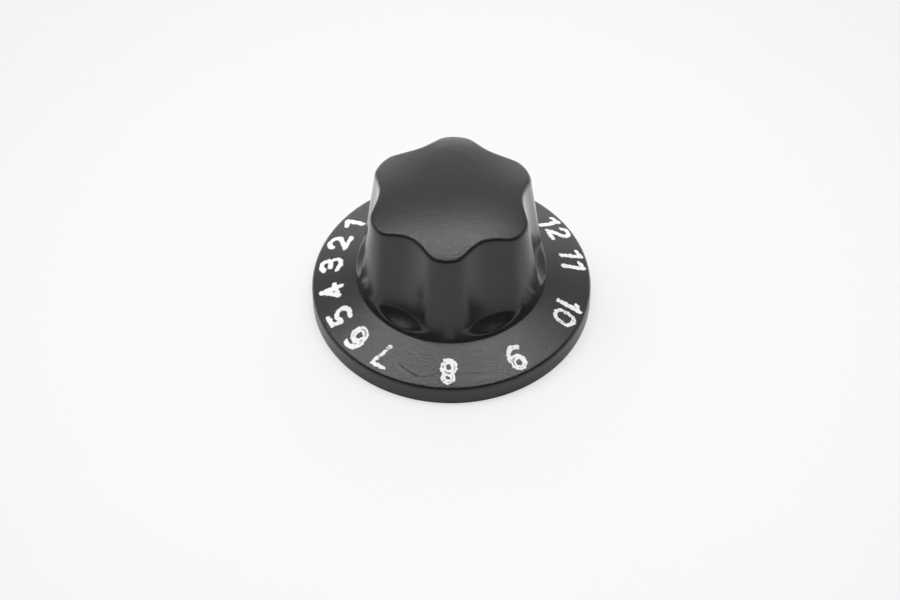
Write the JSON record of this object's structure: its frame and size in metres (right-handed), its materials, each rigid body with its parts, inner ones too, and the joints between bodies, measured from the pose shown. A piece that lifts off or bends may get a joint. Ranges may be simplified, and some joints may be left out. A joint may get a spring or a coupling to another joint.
{
  "type": "control knob",
  "caption": "Round appliance control knob: a fluted grip with a crowned top on a sloping skirt with painted numbers, and a D-shaped shaft seat inside.",
  "frame": {"origin": "middle of the rim's underside, on the shaft axis", "axes": "+Z along the shaft axis, up through the grip; -Y from the axis towards number 8, which faces the camera; +X to the right of that view"},
  "size_m": [0.06, 0.06, 0.0348],
  "materials": {
    "knob_moulding": "fine spark-eroded texture, satin",
    "number_paint": "matt white printed paint",
    "shaft_spring": "rolled spring steel"
  },
  "bodies": {
    "root": {"knob_moulding": "knob_moulding", "number_paint": "number_paint", "shaft_spring": "shaft_spring"}
  },
  "joints": []
}
